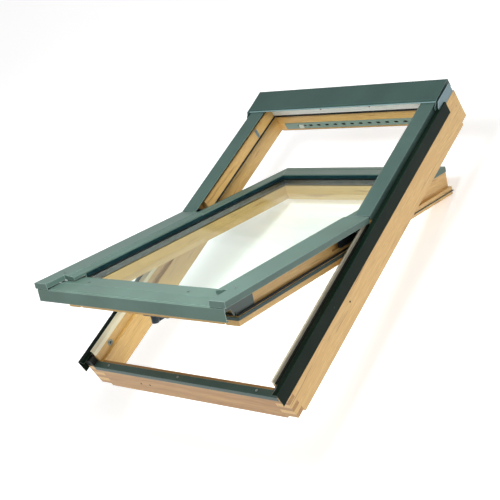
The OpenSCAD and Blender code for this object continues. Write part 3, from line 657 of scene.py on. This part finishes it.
# gasket round the pane's seen part
gasket = {"width": 3.2 * mm, "height": 2.0 * mm, "bite": 12 * mm, "clear": 0.2 * mm, "round": 0.7 * mm}
paneLow, paneHigh = closedBox("outer_pane")
openLow = Vector((paneLow.x + gasket["bite"], paneLow.y + gasket["bite"], paneHigh.z))
openHigh = Vector((paneHigh.x - gasket["bite"], paneHigh.y - gasket["bite"], paneHigh.z))
clearSelection()
bpy.ops.mesh.primitive_plane_add(size=1, location=(openLow + openHigh) / 2)
glazingGasket = bpy.context.object
glazingGasket.name = "glazingGasket"
glazingGasket.scale = (openHigh.x - openLow.x - gasket["clear"], openHigh.y - openLow.y - gasket["clear"], 1)
applyPlace(glazingGasket)
editFaces(glazingGasket, lambda middle, normal: True)
bpy.ops.mesh.inset(thickness=gasket["width"], depth=0)
bpy.ops.mesh.delete(type="FACE")
bpy.ops.mesh.select_all(action="SELECT")
bpy.ops.mesh.extrude_region_move(TRANSFORM_OT_translate={"value": (0, 0, gasket["height"])})
leaveEdit()
bevelAll(glazingGasket, gasket["round"], 2)
setDown(glazingGasket, sealRubber, "sash", sashPlace)

# dark liner up the inner walls of the two sides and the head: a dark teal sheet that paints the shade on
# those walls
liner = {
    "thick": 1.1 * mm,
    "base": 0.1 * mm,
    "top": 13.2 * mm,
    "clear": 0.15 * mm,
    "foot": 4 * mm,
    "bead": 0.5 * mm,
    "beadInset": 0.3 * mm,
    "round": 0.2 * mm,
}
linerLow, linerTop = openLow.z + liner["base"], openLow.z + liner["top"]
left, right = openLow.x + liner["clear"], openHigh.x - liner["clear"]
foot, head = openLow.y + liner["foot"], openHigh.y - liner["clear"]
walls = [boxBetween("linerLeft", (left, foot, linerLow), (left + liner["thick"], head, linerTop)),
         boxBetween("linerRight", (right - liner["thick"], foot, linerLow), (right, head, linerTop)),
         boxBetween("linerHead", (left + liner["thick"], head - liner["thick"], linerLow),
                    (right - liner["thick"], head, linerTop))]
for wall in walls:
    editFaces(wall, lambda middle, normal: normal.z > 0.9)
    bpy.ops.mesh.extrude_region_move(TRANSFORM_OT_translate={"value": (0, 0, liner["bead"])})
    bpy.ops.mesh.inset(thickness=liner["beadInset"], depth=0)
    leaveEdit()
sightlineLiner = joinAll("sightlineLiner", walls)
bevelAll(sightlineLiner, liner["round"], 1)
setDown(sightlineLiner, linerSeal, "sash", sashPlace)
print("gasket and liner round the pane")

# rolled lip along the hood's front, painted much lighter than the hood as a painted highlight
lip = {
    "radius": 2.1 * mm,
    "inside": 3 * mm,
    "back": 5.5 * mm,
    "above": 0.5 * mm,
    "rim": 0.6 * mm,
    "dip": 0.8 * mm,
    "round": 0.25 * mm,
}
hoodLow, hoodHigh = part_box("hood")
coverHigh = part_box("upper_cover_left")[1]
lipPlace = Vector((0, coverHigh.y - lip["back"], coverHigh.z + lip["radius"] + lip["above"]))
hoodLip = roundBar("hoodLip", lip["radius"], hoodHigh.x - hoodLow.x - 2 * lip["inside"], lipPlace, "X", 24)
editFaces(hoodLip, lambda middle, normal: abs(normal.x) > 0.9)
bpy.ops.mesh.inset(thickness=lip["rim"], depth=-lip["dip"])
leaveEdit()
bevelAll(hoodLip, lip["round"], 1)
setDown(hoodLip, hoodLipHighlight, "frame")

# gussets that close the foot's corners under the covers
gusset = {
    "thick": 1.2 * mm,
    "reach": 39 * mm,
    "start": 14 * mm,
    "back": 4 * mm,
    "front": 14 * mm,
    "low": -3.6 * mm,
    "lip": 1.4 * mm,
    "taper": 0.9,
    "round": 0.35 * mm,
}
stileLow = closedBox("stile_right")[0]
gussets = []
for side in (-1, 1):
    inner = side * (openHigh.x + gusset["start"])
    outer = side * (openHigh.x + gusset["start"] + gusset["reach"])
    plate = boxBetween("gusset", (min(inner, outer), stileLow.y - gusset["front"], gusset["low"]),
                       (max(inner, outer), stileLow.y + gusset["back"], gusset["low"] + gusset["thick"]))
    editFaces(plate, lambda middle, normal, side=side: normal.x * side > 0.9)
    bpy.ops.mesh.extrude_region_move(TRANSFORM_OT_translate={"value": (side * gusset["lip"], 0, 0)})
    bpy.ops.transform.resize(value=(1, gusset["taper"], 1))
    leaveEdit()
    bevelAll(plate, gusset["round"], 2)
    gussets.append(plate)
setDown(joinAll("footGussets", gussets), sashTrim, "sash", sashPlace)
print("hood lip and foot gussets")

# near-black foam sheet behind the vent's holes, which paints the shade inside them
foam = {
    "gap": 3.4 * mm,
    "thick": 1.3 * mm,
    "inset": 5 * mm,
    "ends": 12 * mm,
    "cuts": 12,
    "rim": 0.4 * mm,
    "dip": 0.25 * mm,
    "round": 0.3 * mm,
}
ventLow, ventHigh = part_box("vent_grille")
foamY = ventHigh.y + foam["gap"]
ventFilter = boxBetween("ventFilter", (ventLow.x + foam["ends"], foamY, ventLow.z + foam["inset"]),
                        (ventHigh.x - foam["ends"], foamY + foam["thick"], ventHigh.z - foam["inset"]))
editFaces(ventFilter, lambda middle, normal: normal.y < -0.9)
bpy.ops.mesh.subdivide(number_cuts=foam["cuts"])
bpy.ops.mesh.inset(thickness=foam["rim"], depth=-foam["dip"])
leaveEdit()
bevelAll(ventFilter, foam["round"], 1)
setDown(ventFilter, filterFoam, "frame")

# grip ribs on the vent's knob
knob = {
    "ribs": 5,
    "wide": 1.4 * mm,
    "tall": 0.9 * mm,
    "ends": 2 * mm,
    "taper": (0.55, 1, 0.9),
    "round": 0.25 * mm,
    "faceDepth": 0.5 * mm,   # what stands this near the front is the knob's face
}
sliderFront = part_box("vent_slider")[0].y
sliderPoints = [vertex.co for vertex in nodes["vent_slider"].data.vertices]
knobFace = [point for point in sliderPoints if point.y < sliderFront + knob["faceDepth"]]
knobX = sorted(round(point.x, 5) for point in knobFace)
knobZ = sorted(round(point.z, 5) for point in knobFace)
ribs = []
for index in range(knob["ribs"]):
    x = knobX[0] + (knobX[-1] - knobX[0]) * (index + 1) / (knob["ribs"] + 1)
    rib = boxBetween("rib", (x - knob["wide"] / 2, sliderFront - knob["tall"], knobZ[0] + knob["ends"]),
                     (x + knob["wide"] / 2, sliderFront, knobZ[-1] - knob["ends"]))
    editFaces(rib, lambda middle, normal: normal.y < -0.9)
    bpy.ops.transform.resize(value=knob["taper"])
    leaveEdit()
    bevelAll(rib, knob["round"], 2)
    ribs.append(rib)
setDown(joinAll("ventKnobRibs", ribs), sliderPlastic, "vent")
print("vent filter and knob ribs")

# the handle's rose, a rounded plate with two sunk screws
rose = {
    "corner": 8 * mm,
    "edge": 1.1 * mm,
    "cornerSteps": 6,
    "bore": 5.2 * mm,
    "boreLength": 20 * mm,
    "sinkLength": 2.4 * mm,
    "screw": 3.2 * mm,
    "screwHeight": 1.4 * mm,
    "sink": 1.6 * mm,
    "clear": 0.3 * mm,
    "inset": 13 * mm,
}
baseLow, baseHigh = closedBox("handle_base")
roseMiddle = (baseLow + baseHigh) / 2
handleRose = boxBetween("handleRose", baseLow, baseHigh)
upright = (baseHigh.z - baseLow.z) / 2
editEdges(handleRose, lambda first, second: abs(first.z - second.z) > upright)
bpy.ops.mesh.bevel(offset=rose["corner"], segments=rose["cornerSteps"], affect="EDGES")
leaveEdit()
bevelAll(handleRose, rose["edge"], 3)
spindle = sashBack @ Vector(joints["handle_turn"]["pos_m"])
carve(handleRose, roundBar("spindleTool", rose["bore"], rose["boreLength"],
                           (spindle.x, spindle.y, roseMiddle.z)))
screwX = (baseLow.x + rose["inset"], baseHigh.x - rose["inset"])
for x in screwX:
    carve(handleRose, roundBar("sinkTool", rose["screw"], rose["sinkLength"], (x, roseMiddle.y, baseLow.z)))
setDown(handleRose, handlePaint, "sash", sashPlace, ("handle_base",), 40)
roseScrews = []
for x in screwX:
    head = crossHead("roseScrew", rose["screw"] - rose["clear"], rose["screwHeight"])
    place = Matrix.Translation((x, roseMiddle.y, baseLow.z + rose["sink"]))
    head.data.transform(place @ Matrix.Rotation(math.pi, 4, "X"))
    roseScrews.append(head)
setDown(joinAll("roseScrewHeads", roseScrews), screwSteel, "sash", sashPlace)

# the lever: a dished hub on its shaft, and an arm that swells for the grip
lever = {
    "hub": 10.9 * mm,
    "hubGap": 0.5 * mm,
    "hubRim": 2.2 * mm,
    "hubDish": 0.7 * mm,
    "hubRound": 1.2 * mm,
    "shaft": 4.9 * mm,
    "shaftEnd": 0.4 * mm,
    "shaftRim": 0.8 * mm,
    "shaftRise": 0.2 * mm,
    "overlap": 1 * mm,
    "armStart": 6.05 * mm,
    "neck": 24 * mm,
    "grip": 8 * mm,
    "lift": 0.6 * mm,
    "thick": 9 * mm,
    "tipGap": 1 * mm,
    "endDepth": 0.1 * mm,    # finds the face at the arm's present end
    "armRound": 2.4 * mm,
    "swell": ((0.35, 0.78), (0.70, 1.22), (0.92, 1.0), (1.0, 0.72)),   # share of the arm, change of width
}
leverLow, leverHigh = closedBox("handle_lever")
hubTop = baseLow.z - lever["hubGap"]
hub = roundBar("leverHub", lever["hub"], hubTop - leverLow.z,
               (spindle.x, spindle.y, (hubTop + leverLow.z) / 2), sides=40)
editFaces(hub, lambda middle, normal: normal.z < -0.9)
bpy.ops.mesh.inset(thickness=lever["hubRim"], depth=-lever["hubDish"])
leaveEdit()
bevelAll(hub, lever["hubRound"], 3)
shaftLow, shaftTop = hubTop - lever["overlap"], baseHigh.z - lever["shaftEnd"]
shaft = roundBar("leverShaft", lever["shaft"], shaftTop - shaftLow,
                 (spindle.x, spindle.y, (shaftTop + shaftLow) / 2), sides=24)
editFaces(shaft, lambda middle, normal: normal.z > 0.9)
bpy.ops.mesh.inset(thickness=lever["shaftRim"], depth=lever["shaftRise"])
leaveEdit()
neckY, tipY = spindle.y + lever["neck"], leverHigh.y - lever["tipGap"]
arm = boxBetween("leverArm",
                 (spindle.x - lever["grip"], spindle.y + lever["armStart"], leverLow.z + lever["lift"]),
                 (spindle.x + lever["grip"], neckY, leverLow.z + lever["thick"]))
fromY = neckY
for share, widen in lever["swell"]:
    toY = neckY + (tipY - neckY) * share
    editFaces(arm, lambda middle, normal, end=fromY: normal.y > 0.9 and middle.y > end - lever["endDepth"])
    bpy.ops.mesh.extrude_region_move(TRANSFORM_OT_translate={"value": (0, toY - fromY, 0)})
    bpy.ops.transform.resize(value=(widen, 1, 1))
    leaveEdit()
    fromY = toY
bevelAll(arm, lever["armRound"], 4, 0.9)
turnHandle = joinAll("turnHandle", [hub, shaft, arm])
setDown(turnHandle, handlePaint, "handle", sashPlace, ("handle_lever",), 40)
print("handle rose and lever")

view = {
    "place": (2.19948, -1.75623, 1.90941),
    "turnDeg": (51.5588, 28.2440, 32.9598),   # about X, Y and Z
    "lens": 79.64,
    "sensor": 36,
    "shiftX": 0.0402,
    "shiftY": -0.0493,
    "near": 0.05,
    "far": 60,
}
cameraData = bpy.data.cameras.new("studioCamera")
cameraData.lens, cameraData.sensor_width = view["lens"], view["sensor"]
cameraData.shift_x, cameraData.shift_y = view["shiftX"], view["shiftY"]
cameraData.clip_start, cameraData.clip_end = view["near"], view["far"]
camera = bpy.data.objects.new("studioCamera", cameraData)
turn = Euler([math.radians(angle) for angle in view["turnDeg"]])
camera.matrix_world = Matrix.Translation(view["place"]) @ turn.to_matrix().to_4x4()
bpy.context.scene.collection.objects.link(camera)
bpy.context.scene.camera = camera

studio = {
    "floorSize": 60,
    "floorDrop": 2 * mm,
    "floorTones": (tone(248, 248, 248), tone(252, 252, 252)),
    "floorNoise": (0.8, 2.0, 0.5),   # scale, detail and roughness
    "floorGlow": 0.42,
    "ambient": 0.50,
}
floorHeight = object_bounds()[0].z - studio["floorDrop"]
clearSelection()
bpy.ops.mesh.primitive_plane_add(size=studio["floorSize"], location=(0, 0, floorHeight))
floor = bpy.context.object
floor.name = "paleFloor"
floorFinish, tree, skin = newFinish("paleFloor", {"Roughness": 0.85, "Specular IOR Level": 0.1,
                                                  "Emission Color": (1, 1, 1, 1),
                                                  "Emission Strength": studio["floorGlow"]})
spread = cloud(tree, objectPlace(tree), *studio["floorNoise"])
duller, brighter = studio["floorTones"]
tree.links.new(ramp(tree, spread, [(0.3, duller), (0.7, brighter)]), skin.inputs["Base Color"])
floor.data.materials.append(floorFinish)

world = bpy.data.worlds.new("softStudio")
bpy.context.scene.world = world
world.use_nodes = True
sky = world.node_tree.nodes["Background"]
sky.inputs["Color"].default_value = (1, 1, 1, 1)
sky.inputs["Strength"].default_value = studio["ambient"]

# soft square lamps: where each stands, what it points at, its width in metres and its power in watts
lamps = {
    "keyLamp": {"place": (3.2, -0.6, 3.4), "target": (0, 0, 0), "width": 2.4, "power": 15.0},
    "fillLamp": {"place": (-2.6, -2.8, 2.4), "target": (0, 0, 0), "width": 2.6, "power": 27.0},
    "topLamp": {"place": (0.28, -0.30, 1.25), "target": (-0.15, 0.35, -0.05), "width": 0.5, "power": 22.0},
}
for name, lamp in lamps.items():
    light = bpy.data.lights.new(name, "AREA")
    light.shape, light.size, light.energy = "SQUARE", lamp["width"], lamp["power"]
    stand = bpy.data.objects.new(name, light)
    stand.location = lamp["place"]
    aim = Vector(lamp["target"]) - Vector(lamp["place"])
    stand.rotation_euler = aim.to_track_quat("-Z", "Y").to_euler()
    stand.visible_camera = stand.visible_glossy = False
    bpy.context.scene.collection.objects.link(stand)
bpy.context.scene.view_settings.view_transform = "Standard"
print("camera, lamps and floor ready")
